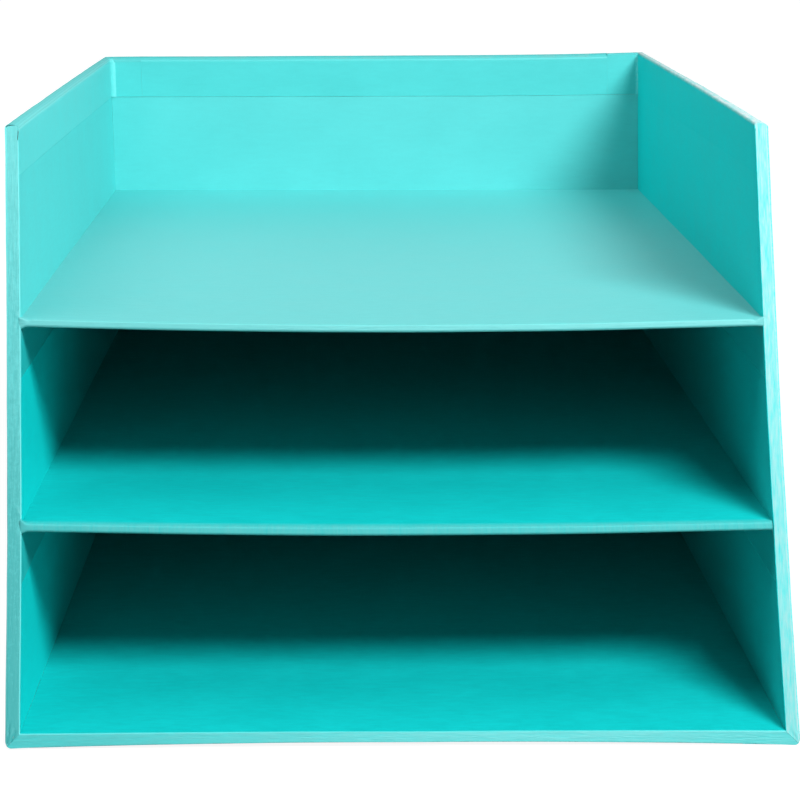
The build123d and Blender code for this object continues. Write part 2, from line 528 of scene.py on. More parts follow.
# Lit and shaded copies of the linings: lighter and paler, lighter, darker, and paler; a painted light, sheen
# and shade
PAINTED_LIGHT_SHEEN_SIDE_LINING = SIDE_LINING.toned(PaperTone.PAINTED_LIGHT_SHEEN)
PAINTED_LIGHT_SIDE_LINING = SIDE_LINING.toned(PaperTone.PAINTED_LIGHT)
PAINTED_SHADE_SIDE_LINING = SIDE_LINING.toned(PaperTone.PAINTED_SHADE)
PAINTED_SHEEN_CROSS_LINING = CROSS_LINING.toned(PaperTone.PAINTED_SHEEN)
# The floor and the lower shelf: mottled, darker and deeper copies, a painted shade
FLOOR_LINING = PaperFinish(
    "lining_paper_floor", FibreRun.ACROSS, tone=PaperTone.MOTTLED_PAINTED_SHADE, roughness=0.6, specular=0.15, grain=1.6,
    patches=0.6,
)
LOWER_SHELF_PAPER = replace(FLOOR_LINING, name="cover_paper_lower_shelf", tone=PaperTone.DEEP_PAINTED_SHADE, painted_shade_strength=0.3)


# Common work on meshes


def new_piece(name: str, mesh: bpy.types.Mesh) -> Piece:
    """Puts a mesh into the scene as a piece at the origin."""
    piece = bpy.data.objects.new(name, mesh)
    bpy.context.scene.collection.objects.link(piece)
    return piece


def piece_from(name: str, shape: Shape) -> Piece:
    """Turns a finished mesh into a piece."""
    mesh = bpy.data.meshes.new(name)
    shape.to_mesh(mesh)
    shape.free()
    return new_piece(name, mesh)


def settle(piece: Piece) -> None:
    """Turns a piece and its modifiers into one plain mesh."""
    graph = bpy.context.evaluated_depsgraph_get()
    plain = bpy.data.meshes.new_from_object(
        piece.evaluated_get(graph), preserve_all_data_layers=True, depsgraph=graph
    )
    piece.modifiers.clear()
    piece.data = plain


def parts_of(faces: Sequence[Face]) -> list[MeshPart]:
    """Faces with their edges and corners, each once and always in the same order."""
    edges = (e for f in faces for e in f.edges)
    corners = (v for f in faces for v in f.verts)
    return list(dict.fromkeys((*faces, *edges, *corners)))


def cut(shape: Shape, place: Point, normal: Point, faces: Optional[Sequence[Face]] = None) -> None:
    """Cuts a mesh by a plane.

    Args:
        shape: the mesh.
        place: a point of the plane.
        normal: direction square to the plane.
        faces: those to cut, or None for all.
    """
    parts = [*shape.verts, *shape.edges, *shape.faces] if faces is None else parts_of(faces)
    bmesh.ops.bisect_plane(shape, geom=parts, dist=CUT_SLACK, plane_co=place, plane_no=normal)


def round_edges(shape: Shape, edges: Sequence[Edge], radius: float, segments: int) -> list[Face]:
    """Rounds edges of a mesh.

    Args:
        shape: the mesh.
        edges: those to round.
        radius: how far from the edge the round starts.
        segments: steps of the round.
    Returns:
        The faces of the rounds.
    """
    return bmesh.ops.bevel(
        shape, geom=edges, offset=radius, offset_type="OFFSET", segments=segments, profile=0.5,
        affect="EDGES", clamp_overlap=False,
    )["faces"]


def grid_cuts(shape: Shape, pitch: float) -> None:
    """Cuts a mesh by planes square to x, y and z, so that it can bend.

    Args:
        shape: the mesh.
        pitch: distance between the planes.
    """
    for axis in range(3):
        places = [v.co[axis] for v in shape.verts]
        low, high = min(places), max(places)
        normal = Vector((0.0, 0.0, 0.0))
        normal[axis] = 1.0
        count = int((high - low) / pitch)
        for step in range(1, count):
            cut(shape, normal * (low + (high - low) * step / count), normal)


def thicken(piece: Piece, paper: float) -> None:
    """Gives a skin the paper's thickness, inwards, and soft shading that keeps its flats flat.

    Args:
        piece: the skin, facing outwards.
        paper: the thickness.
    """
    wall = piece.modifiers.new("paper", "SOLIDIFY")
    wall.thickness = paper
    wall.offset = -1.0
    settle(piece)
    piece.data.shade_smooth()
    piece.data.set_sharp_from_angle(angle=SOFT_UP_TO)
    even = piece.modifiers.new("even shading", "WEIGHTED_NORMAL")
    even.keep_sharp = True
    even.weight = FLAT_WEIGHT
    settle(piece)


@dataclass(frozen=True)
class HandBow:
    """What gluing by hand leaves: a slight lean, drawn-in walls, an arched foot and a faint ripple."""

    sizes: TraySizes
    rack: float = -4.0 * MM
    rim_dip: float = 1.6 * MM
    corner_rise: float = 1.2 * MM
    draw_in: float = 0.8 * MM
    rear_draw_in: float = 1.05 * MM
    rear_skew: float = 0.25 * MM
    rear_roll: float = 0.8 * MM
    lower_lift: float = 0.65 * MM
    lift_reach: float = 10.0 * MM
    foot_spread: float = 1.65 * MM
    foot_shift: float = 0.35 * MM
    foot_lift: float = 0.6 * MM
    rim_crown: float = 0.92 * MM
    rim_skew: float = 0.62 * MM
    foot_arch: float = 0.7 * MM
    sole_arch: float = 1.1 * MM
    ripple: float = 0.12 * MM
    ripple_span: float = 40.0 * MM

    def moved(self, spot: Vector) -> Vector:
        """Where a point of the true shape comes to lie, never below the table."""
        s = self.sizes
        ahead = unit((s.back_y - spot.y) / (s.back_y - s.front_y))
        rise = unit(spot.z / s.height)
        rear = 1.0 - ahead
        across = spot.x / s.half_width
        inside = max(0.0, 1.0 - across * across)
        low = max(0.0, 1.0 - spot.z / (0.5 * s.lower_z))
        sole = max(0.0, 1.0 - spot.z / s.floor_z)
        by_lower = max(0.0, 1.0 - abs(spot.z - s.lower_z + s.shelf_t) / self.lift_reach)
        shift = Vector((0.0, 0.0, 0.0))
        shift.x = self.rack * rise + (across * self.foot_spread + self.foot_shift) * (1.0 - rise)
        wall = unit((abs(spot.x) - s.wall_x) / (s.half_width - s.wall_x))
        rear_draw_in = (self.rear_draw_in - self.rear_skew * across) * wall * rise * rear
        shift.x -= across * (self.draw_in * math.sin(math.pi * rise) * ahead + rear_draw_in)
        shift.z = inside * (self.foot_arch * low + self.sole_arch * sole) * ahead**3
        shift.z += self.lower_lift * inside * ahead * by_lower
        corner = self.corner_rise * max(0.0, across) ** 4 * rear**4 + self.rear_roll * across * rear**2
        crown = (self.rim_crown + self.rim_skew * across) * across * across * 4.0 * ahead * rear
        shift.z += rise**4 * (corner - self.rim_dip * ahead + crown)
        shift.z += self.foot_lift * max(0.0, -across) * (1.0 - rise) * ahead
        place = spot + shift + noise.noise_vector(spot / self.ripple_span) * self.ripple
        place.z = max(place.z, 0.0)
        return place

    def apply(self, piece: Piece) -> None:
        """Bends a piece's mesh."""
        for vertex in piece.data.vertices:
            vertex.co = self.moved(vertex.co)
        piece.data.update()


class FoldedSheet:
    """One sheet of paper bent round the boards, laid out as flat panels that share their folds."""

    STEPS_PER_METRE = 1e7
    FOLD_ANGLE = math.radians(30.0)
    LIFT_SPAN = 14.0 * MM
    CREASE_FLANK = 0.6 * MM
    CREASE_REACH = 5 * MM
    CREASE_DEPTH = 0.3 * MM
    CREASE_FACING = 0.9
    CREASE_OVERRUN = 0.01
    CREASE_END = 0.35

    def __init__(self, name: str) -> None:
        """Starts an empty sheet."""
        self.name = name
        self.shape = bmesh.new()
        self.scuff_light_layer = self.shape.faces.layers.float.new("fold")
        self.rub_mark = self.shape.faces.layers.float.new("rub")
        self.round_mark = self.shape.faces.layers.int.new("rounded")
        self.corners: dict[tuple, Corner] = {}

    def panel(
        self, outward: Point, points: Iterable[Point], rub: float = 0.0, finish: int = 0, scuff_light_level: float = 0.0
    ) -> None:
        """Adds a flat panel.

        Args:
            outward: the side that shows.
            points: the panel's corners in order, in either direction.
            rub: how strongly it takes the strip marks, 0 to 1: paler streaks, partly rubbing and partly a
                painted sheen, and darker towards the foot, a painted shade.
            finish: number of its finish among those of the sheet.
            scuff_light_level: how strongly it takes the fold marks: paler, as scuffing and a painted sheen,
                and past one also darker, a painted shade.
        """
        ring = []
        for point in points:
            key = tuple(round(c * self.STEPS_PER_METRE) for c in point)
            if key not in self.corners:
                self.corners[key] = self.shape.verts.new(point)
            ring.append(self.corners[key])
        face = self.shape.faces.new(ring)
        face[self.rub_mark] = rub
        face[self.scuff_light_layer] = scuff_light_level
        face.material_index = finish
        face.normal_update()
        if face.normal.dot(Vector(outward)) < 0:
            face.normal_flip()

    def fold(
        self, radius: float, where: Callable[[Vector], bool] = lambda spot: True, segments: int = 4,
        scuff_light_level: float = 1.0, rim: bool = False,
    ) -> None:
        """Rounds the folds between panels.

        Args:
            radius: of the outside of the fold.
            where: picks folds by their middle.
            segments: steps of the round; one leaves a flat facet.
            scuff_light_level: how strongly the round takes the fold marks: paler, as scuffing and a painted
                highlight and sheen, and past one also darker, a painted shade.
            rim: whether the marks are those of a rim, less on the parts that face sideways and most where the
                round faces up: a painted sheen and shade on the rim's top.
        """
        folds = [
            e for e in self.shape.edges
            if len(e.link_faces) == 2
            and not any(f[self.round_mark] for f in e.link_faces)
            and e.calc_face_angle() > self.FOLD_ANGLE
            and where((e.verts[0].co + e.verts[1].co) / 2)
        ]
        for face in round_edges(self.shape, folds, radius, segments):
            face[self.round_mark] = 1
            face.normal_update()
            face[self.scuff_light_layer] = scuff_light_level * max(0.0, face.normal.z) if rim else scuff_light_level

    def unmark_rounds(self) -> None:
        """Lets the next folds run over the rounds made so far."""
        for face in self.shape.faces:
            face[self.round_mark] = 0

    def lift_edges(self, most: float, where: Callable[[Vector], bool]) -> None:
        """Lifts free edges a little and unevenly, as dried paper does.

        Args:
            most: the highest lift.
            where: picks the edges by their points.
        """
        self.shape.normal_update()
        edge_points = {v for e in self.shape.edges if e.is_boundary for v in e.verts}
        for vert in edge_points:
            if where(vert.co):
                uneven = 0.5 + 0.5 * noise.noise(vert.co / self.LIFT_SPAN)
                vert.co += vert.normal * most * uneven

    def crease(self, start: Vector, end: Vector, facing: Vector, height: float) -> None:
        """Presses a short straight crease into the sheet.

        Args:
            start: one end of the crease.
            end: its other end.
            facing: direction that the sheet faces there.
            height: how far the crease stands out, negative for a dent.
        """
        run = end - start
        across = run.cross(facing).normalized()
        middle = (start + end) / 2
        cuts = [(start + run * part, run.normalized()) for part in (0.0, 0.25, 0.5, 0.75, 1.0)]
        cuts += [(start + across * offset, across) for offset in (-self.CREASE_FLANK, 0.0, self.CREASE_FLANK)]
        for place, normal in cuts:
            near = [
                f for f in self.shape.faces
                if f.normal.dot(facing) > self.CREASE_FACING
                and (f.calc_center_median() - middle).length < run.length + self.CREASE_REACH
            ]
            cut(self.shape, place, normal, near)
        for vert in self.shape.verts:
            away = vert.co - start
            along = away.dot(run) / run.length_squared
            within = -self.CREASE_OVERRUN <= along <= 1.0 + self.CREASE_OVERRUN
            if within and abs(away.dot(across)) < TOUCH and abs(away.dot(facing)) < self.CREASE_DEPTH:
                swell = self.CREASE_END + (1.0 - self.CREASE_END) * math.sin(math.pi * along)
                vert.co += facing * height * swell

    def waver(self, most: float, span: float = 11.0 * MM) -> None:
        """Lets the folds stray from the straight a little.

        Args:
            most: the largest stray.
            span: length of one wave.
        """
        for vert in {v for f in self.shape.faces if f[self.round_mark] for v in f.verts}:
            vert.co += noise.noise_vector(vert.co / span) * most

    def piece(self, bow: HandBow, paper: float) -> Piece:
        """Ends the sheet.

        Args:
            bow: the bend that all pieces share.
            paper: the sheet's thickness.
        Returns:
            The sheet as a piece.
        """
        made = piece_from(self.name, self.shape)
        bow.apply(made)
        thicken(made, paper)
        return made


def hand_over(piece: Piece, finishes: Sequence[Material], slot: str, *nodes: str) -> None:
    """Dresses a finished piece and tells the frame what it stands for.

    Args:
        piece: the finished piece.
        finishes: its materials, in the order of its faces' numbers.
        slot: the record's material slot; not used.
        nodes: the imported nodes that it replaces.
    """
    for finish in finishes:
        if piece.data.materials.find(finish.name) < 0:
            piece.data.materials.append(finish)
    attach(piece, BODY)
    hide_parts(*nodes)
    log.info("%s stands for %s: %d faces", piece.name, ", ".join(nodes), len(piece.data.polygons))


# Sub-assemblies


@dataclass
class SubAssembly:
    """What every sub-assembly works from."""

    sizes: TraySizes
    bow: HandBow


@dataclass
class Boards(SubAssembly):
    """The six greyboards inside the paper."""

    names: tuple[str, ...] = (
        "base_board", "left_side_board", "right_side_board", "back_board", "lower_shelf_board",
        "upper_shelf_board",
    )
    cut_pitch: float = 15 * MM
    wall_edge: float = 1.85 * MM
    back_edge: float = 1.5 * MM
    nose_inset: float = 0.5 * MM
    thin_edge: float = 0.65 * MM
    edge_steps: int = 3
    edge_angle: float = math.radians(60.0)

    def edge_radius(self, node: str) -> float:
        """How far a board's edges are crushed round."""
        if "side" in node:
            return self.wall_edge
        return self.back_edge if "back" in node else self.thin_edge

    def build(self) -> None:
        """Rounds each board's crushed edges, bends it with the paper round it and gives it its raw finish."""
        finish = GreyboardFinish().material()
        for node in self.names:
            shape = bmesh.new()
            shape.from_mesh(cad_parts[node].data)
            bmesh.ops.remove_doubles(shape, verts=shape.verts, dist=TOUCH)
            edges = [
                e for e in shape.edges if len(e.link_faces) == 2 and e.calc_face_angle() > self.edge_angle
            ]
            round_edges(shape, edges, self.edge_radius(node), self.edge_steps)
            if "shelf" in node:
                nose = min(v.co.y for v in shape.verts) + 4 * self.nose_inset
                for vert in shape.verts:
                    vert.co.y += self.nose_inset if vert.co.y < nose else 0.0
            grid_cuts(shape, self.cut_pitch)
            piece = piece_from(f"raw_{node}", shape)
            self.bow.apply(piece)
            hand_over(piece, [finish], "greyboard", node)


@dataclass(frozen=True)
class Crease:
    """A wrinkle on a front strip: each end by its distance in from the outer face and its level."""

    from_in: float
    from_z: float
    to_in: float
    to_z: float
    height: float


@dataclass
class SideCover(SubAssembly):
    """One side wall's paper: a sheet folded over the rim, the foot, the front edge and a rear corner."""

    side: Side
    fold_radius: float = 0.75 * MM
    lip_radius: float = 0.42 * MM
    rim_radius: float = 2.3 * MM
    outer_rim_radius: float = 1.5 * MM
    inner_corner_radius: float = 0.8 * MM
    foot_steps: int = 4
    edge_lift: float = 0.12 * MM
    slit_start: float = 2.2 * MM
    slit: float = 0.22 * MM
    top_slit: float = 0.06 * MM
    top_gape: float = 0.0
    gape_reach: float = 7.0 * MM
    gape_rise: float = 2.0 * MM
    corner_cut: float = 1.2 * MM
    rim_band: float = 4.0 * MM
    # Rim fold marks, stronger on the corner flap: paler and darker on the rim's top, a painted sheen and
    # shade
    rim_sheen_shade_level: float = 1.5
    flap_gain: float = 1.7
    front_facing: float = 0.98
    # Corner and lip fold marks: scuffing with a painted highlight; strip marks: streaks of rubbing with a
    # painted sheen, darker towards the foot, a painted shade
    corner_scuff_highlight: float = 0.0
    lip_scuff_highlight: float = 0.0
    rub: float = 1.0
    finish: PaperFinish = COVER_PAPER
    flap_seam: float = 0.16 * MM
    waver: float = 0.1 * MM
    cut_pitch: float = 6 * MM
    creases: tuple[Crease, ...] = ()

    def at(self, x: float, y: float, z: float) -> Vector:
        """Point on this side, with x measured outwards from the middle."""
        return Vector((self.side.value * x, y, z))

    def on_front(self, x: float, z: float, behind: float = 0.0) -> Vector:
        """Point on this side at the leaning front, or some way behind it."""
        return self.at(x, self.sizes.front_at(z, behind), z)

    def foot_arc(self) -> tuple[list[tuple[float, float]], int]:
        """Section of the rounded foot from the wall to the underside.

        Returns:
            Points (x outwards, z), and the number of the point on the mitre.
        """
        s = self.sizes
        r = s.corner_radius
        run, rise = s.half_width - s.wall_x, s.floor_z
        a, b = run * run + rise * rise, -2 * r * (run + rise)
        t = (-b - math.sqrt(b * b - 4 * a * r * r)) / (2 * a)
        mitre = math.atan2(r - t * rise, r - t * run)
        angles = [mitre * i / self.foot_steps for i in range(self.foot_steps)]
        angles += [mitre + (math.pi / 2 - mitre) * i / self.foot_steps for i in range(self.foot_steps + 1)]
        return [(s.half_width - r + r * math.cos(q), r - r * math.sin(q)) for q in angles], self.foot_steps

    def build(self) -> None:
        """Lays out the panels, folds them and hands the sheet over."""
        s, at, on_front, front = self.sizes, self.at, self.on_front, self.sizes.front_at
        out, hw, wx, top = self.side.value, s.half_width, s.wall_x, s.height
        fold_z, rear_z, lip = top - s.turn_in, top - s.turn_in - s.turn_in_gain, s.front_lip
        slit_z, flap_x = top - self.slit_start, s.flap_x - self.flap_seam
        strip_z, cut_z = top - self.top_slit, top - self.corner_cut
        arc, mitre = self.foot_arc()
        sheet = FoldedSheet(f"{self.side.name.lower()}_side_paper")

        foot_z = s.corner_radius
        sheet.panel((out, 0, 0), [
            on_front(hw, foot_z), on_front(hw, cut_z), on_front(hw, top),
            at(hw, s.back_y, top), at(hw, s.back_y, foot_z),
        ])
        sheet.panel((0, 0, 1), [
            on_front(hw, top), on_front(wx, top), at(wx, s.wall_y, top), at(flap_x, s.wall_y, top),
            at(flap_x, s.back_y, top), at(hw, s.back_y, top),
        ], scuff_light_level=self.rim_sheen_shade_level)
        sheet.panel((-out, 0, 0), [
            on_front(wx, top), on_front(wx, slit_z), on_front(wx, slit_z, lip),
            on_front(wx, fold_z, lip + self.slit), at(wx, s.wall_y, rear_z), at(wx, s.wall_y, top),
        ])
        sheet.panel((-out, 0, 0), [
            on_front(wx, slit_z), on_front(wx, slit_z, lip),
            on_front(wx, s.floor_z, lip), on_front(wx, s.floor_z),
        ])
        sheet.panel(s.front_normal, [
            *(on_front(x, z) for x, z in arc[: mitre + 1]),
            on_front(wx, s.floor_z), on_front(wx, slit_z), on_front(wx, strip_z),
            on_front(hw - self.corner_cut, strip_z), on_front(hw, cut_z),
        ])
        for i, ((x0, z0), (x1, z1)) in enumerate(zip(arc, arc[1:])):
            behind = 0.0 if i < mitre else s.paper
            ring = [on_front(x0, z0, behind), on_front(x1, z1, behind)]
            if i == mitre - 1:
                ring.append(on_front(x1, z1, s.paper))
            sheet.panel((out, 0, -1), [*ring, at(x1, s.back_y, z1), at(x0, s.back_y, z0)])
        under_x = arc[-1][0]
        sheet.panel((0, 0, -1), [
            on_front(under_x, 0, s.paper), on_front(flap_x, 0, s.paper),
            at(flap_x, s.back_y, 0), at(under_x, s.back_y, 0),
        ])
        sheet.panel((0, 1, 0), [
            at(hw, s.back_y, top), *(at(x, s.back_y, z) for x, z in arc),
            at(flap_x, s.back_y, 0), at(flap_x, s.back_y, top),
        ], finish=1)
        sheet.panel((0, -1, 0), [
            at(wx, s.wall_y, top), at(wx, s.wall_y, rear_z),
            at(flap_x, s.wall_y, rear_z), at(flap_x, s.wall_y, top),
        ], finish=1)

        def in_corner(spot: Vector) -> bool:
            """On the upright fold of the rear inner corner."""
            return abs(abs(spot.x) - wx) < TOUCH and abs(spot.y - s.wall_y) < TOUCH and spot.z < top - TOUCH

        def on_inner_rim(spot: Vector) -> bool:
            """On the rim's fold towards the inside."""
            return spot.z > top - TOUCH and abs(spot.x) < wx + TOUCH and spot.y < s.wall_y + TOUCH

        def on_outer_rim(spot: Vector) -> bool:
            """On one of the rim's other folds, behind its front end."""
            return spot.z > top - TOUCH and spot.y > front(top) + TOUCH

        def on_lip(spot: Vector) -> bool:
            """On the front strip's fold towards the inside."""
            return abs(abs(spot.x) - wx) < TOUCH and spot.y < front(spot.z) + TOUCH

        sheet.fold(self.inner_corner_radius, in_corner, segments=1, scuff_light_level=self.corner_scuff_highlight)
        sheet.unmark_rounds()
        sheet.fold(self.rim_radius, on_inner_rim, scuff_light_level=self.rim_sheen_shade_level, rim=True)
        sheet.fold(self.outer_rim_radius, on_outer_rim, scuff_light_level=self.rim_sheen_shade_level, rim=True)
        sheet.fold(self.lip_radius, on_lip, scuff_light_level=self.lip_scuff_highlight)
        sheet.fold(self.fold_radius)
        self.mark_scuff_and_light(sheet)
        grid_cuts(sheet.shape, self.cut_pitch)
        for mark in self.creases:
            start = on_front(hw - mark.from_in, mark.from_z)
            end = on_front(hw - mark.to_in, mark.to_z)
            sheet.crease(start, end, s.front_normal, mark.height)
        sheet.lift_edges(self.edge_lift, off_table)
        self.gape(sheet, slit_z)
        sheet.waver(self.waver)
        hand_over(
            sheet.piece(self.bow, s.paper), [self.finish.material(), BACK_PAPER.material()], "cover_paper",
            f"{self.side.name.lower()}_side_cover",
        )

    def mark_scuff_and_light(self, sheet: FoldedSheet) -> None:
        """Marks the front strip for streaks of rubbing with a painted sheen and a painted shade towards the
        foot, and gives the corner flap's rim the back's finish and stronger fold marks.
        """
        s = self.sizes
        rim_z = s.height - self.rim_band
        rim = [
            f for f in sheet.shape.faces
            if max(v.co.y for v in f.verts) > s.wall_y + TOUCH and f.calc_center_median().z > rim_z
        ]
        cut(sheet.shape, self.at(s.wall_x, s.wall_y, 0), (1, 0, 0), rim)
        sheet.shape.normal_update()
        for face in sheet.shape.faces:
            middle = face.calc_center_median()
            if middle.z > rim_z and middle.y > s.wall_y and abs(middle.x) < s.wall_x:
                face.material_index = 1
            if face.normal.dot(s.front_normal) > self.front_facing:
                face[sheet.rub_mark] = self.rub
            if face.material_index == 1:
                face[sheet.scuff_light_layer] *= self.flap_gain

    def gape(self, sheet: FoldedSheet, slit_z: float) -> None:
        """Lets the front end of the rim's turn-in stand off the wall.

        Args:
            sheet: the folded sheet.
            slit_z: foot of the slit between the turn-in and the front strip.
        """
        s, out = self.sizes, self.side.value
        for vert in sheet.shape.verts:
            behind = vert.co.y - s.front_at(vert.co.z)
            near = max(0.0, 1.0 - behind / self.gape_reach) * unit((vert.co.z - slit_z) / self.gape_rise)
            vert.co.x -= out * self.top_gape * near * max(0.0, -out * vert.normal.x)


@dataclass
class BackCover(SubAssembly):
    """The back's paper, between the two corner flaps: over the rim, down the outside and under the base."""

    fold_radius: float = 0.75 * MM
    rim_radius: float = 2.3 * MM
    outer_rim_radius: float = 1.5 * MM
    # Fold marks on the rim's top: paler and darker, a painted sheen and shade
    rim_sheen_shade_level: float = 6.0
    edge_lift: float = 0.1 * MM
    cut_pitch: float = 9 * MM

    def build(self) -> None:
        """Lays out the panels, folds them and hands the sheet over."""
        s = self.sizes
        sheet = FoldedSheet("back_paper")
        fold_z = s.height - s.turn_in - s.turn_in_gain
        path = [
            (s.wall_y, fold_z, (0, -1, 0)), (s.wall_y, s.height, (0, 0, 1)), (s.back_y, s.height, (0, 1, 0)),
            (s.back_y, 0.0, (0, 0, -1)), (s.under_y, 0.0, None),
        ]
        for (y0, z0, outward), (y1, z1, _) in zip(path, path[1:]):
            ring = [(-s.sheet_x, y0, z0), (s.sheet_x, y0, z0), (s.sheet_x, y1, z1), (-s.sheet_x, y1, z1)]
            sheet.panel(outward, ring, scuff_light_level=self.rim_sheen_shade_level if outward == (0, 0, 1) else 0.0)

        def on_rim(spot: Vector) -> bool:
            """On a fold of the rim."""
            return spot.z > s.height - TOUCH

        def on_inner_rim(spot: Vector) -> bool:
            """On the rim's fold towards the inside."""
            return on_rim(spot) and spot.y < s.wall_y + TOUCH

        sheet.fold(self.rim_radius, on_inner_rim, scuff_light_level=self.rim_sheen_shade_level, rim=True)
        sheet.fold(self.outer_rim_radius, on_rim, scuff_light_level=self.rim_sheen_shade_level, rim=True)
        sheet.fold(self.fold_radius)
        grid_cuts(sheet.shape, self.cut_pitch)
        sheet.lift_edges(self.edge_lift, off_table)
        hand_over(sheet.piece(self.bow, s.paper), [BACK_PAPER.material()], "cover_paper", "back_cover")


@dataclass
class BaseCover(SubAssembly):
    """The base's paper: the underside, the front strip with mitred ends and the lip above it."""

    fold_radius: float = 0.42 * MM
    mitre_gap: float = 0.07 * MM
    # Strip marks on the front strip: streaks of rubbing with a painted sheen, darker towards the foot, a
    # painted shade
    rub: float = 0.75
    cut_pitch: float = 9 * MM

    def build(self) -> None:
        """Lays out the panels, folds them and hands the sheet over."""
        s = self.sizes
        arc, mitre = SideCover(s, self.bow, Side.RIGHT).foot_arc()
        sheet = FoldedSheet("base_paper")
        lip_x = s.wall_x - self.mitre_gap
        half = [*((x - self.mitre_gap, z) for x, z in arc[mitre:]), (s.sheet_x, 0.0)]
        rim = half + [(-x, z) for x, z in reversed(half)] + [(-lip_x, s.floor_z), (lip_x, s.floor_z)]
        sheet.panel(s.front_normal, [(x, s.front_at(z), z) for x, z in rim], rub=self.rub)
        sheet.panel((0, 0, -1), [
            (-s.sheet_x, s.front_y, 0), (s.sheet_x, s.front_y, 0),
            (s.sheet_x, s.base_sheet_y, 0), (-s.sheet_x, s.base_sheet_y, 0),
        ])
        sheet.panel((0, 0, 1), [
            (-lip_x, s.front_at(s.floor_z), s.floor_z), (lip_x, s.front_at(s.floor_z), s.floor_z),
            (lip_x, s.front_at(s.floor_z, s.front_lip), s.floor_z),
            (-lip_x, s.front_at(s.floor_z, s.front_lip), s.floor_z),
        ])
        sheet.fold(self.fold_radius)
        grid_cuts(sheet.shape, self.cut_pitch)
        hand_over(sheet.piece(self.bow, s.paper), [CROSS_PAPER.material()], "cover_paper", "base_cover")


class FlatSheets:
    """Flat sheets glued to walls and floor, all made by one geometry tree."""

    INPUTS = {
        "Vector": ("Origin", "Along", "Up"),
        "Float": ("Length", "Rise", "Lean", "Fall", "Wander"),
        "Int": ("Cells Along", "Cells Up"),
        "Material": ("Material",),
    }
    CELL = 6 * MM
    WANDER_SCALE = 45.0
    EDGE_POWER = 12.0

    def __init__(self) -> None:
        """Builds the tree: a grid whose near edge leans and whose free edges wander a little."""
        g = ShapeSheet("flat_sheet", self.INPUTS)
        self.tree = g
        grid = g.add("GeometryNodeMeshGrid", {}, {
            "Size X": 1.0, "Size Y": 1.0,
            "Vertices X": g.given("Cells Along") + 1.0, "Vertices Y": g.given("Cells Up") + 1.0,
        })
        spot = g.add("GeometryNodeInputPosition", {}, {})
        split = g.add("ShaderNodeSeparateXYZ", {}, {"Vector": spot})
        u = split + 0.5
        v = split.beside("Y") + 0.5
        rise = v * (g.given("Rise") - u * g.given("Fall"))
        along = u * g.given("Length") + (1.0 - u) * rise * g.given("Lean")
        where = g.add("ShaderNodeCombineXYZ", {}, {"X": along, "Y": rise})
        stray = (g.mottle(where, self.WANDER_SCALE, 2.0) - 0.5) * g.given("Wander")
        along = along + stray * (1.0 - u) ** self.EDGE_POWER
        rise = rise + stray * v**self.EDGE_POWER
        step = g.add("ShaderNodeVectorMath", {"operation": "SCALE"}, {0: g.given("Along"), "Scale": along})
        lift = g.add("ShaderNodeVectorMath", {"operation": "SCALE"}, {0: g.given("Up"), "Scale": rise})
        flat = g.add("ShaderNodeVectorMath", {"operation": "ADD"}, {0: step, 1: lift})
        place = g.add("ShaderNodeVectorMath", {"operation": "ADD"}, {0: flat, 1: g.given("Origin")})
        g.finish(g.add("GeometryNodeSetPosition", {}, {"Geometry": grid, "Position": place}))

    def make(
        self, name: str, origin: Point, along: Point, up: Point, length: float, rise: float,
        finish: Material, lean: float = 0.0, wander: float = 0.25 * MM, fall: float = 0.0,
    ) -> Piece:
        """Makes one flat sheet.

        Args:
            name: name of the piece.
            origin: its near lower corner.
            along: direction of its length.
            up: direction of its rise; the sheet faces along x up.
            length: from the near corner to the far edge.
            rise: its other size.
            finish: its material.
            lean: how far the near edge goes along for each unit of rise.
            wander: how far its free edges stray.
            fall: how much lower its far end is.
        Returns:
            The sheet, still without thickness.
        """
        return self.tree.make(name, {
            "Origin": tuple(origin), "Along": tuple(along), "Up": tuple(up), "Length": length, "Rise": rise,
            "Cells Along": max(2, round(length / self.CELL)), "Cells Up": max(2, round(rise / self.CELL)),
            "Lean": lean, "Wander": wander, "Fall": fall, "Material": finish,
        })


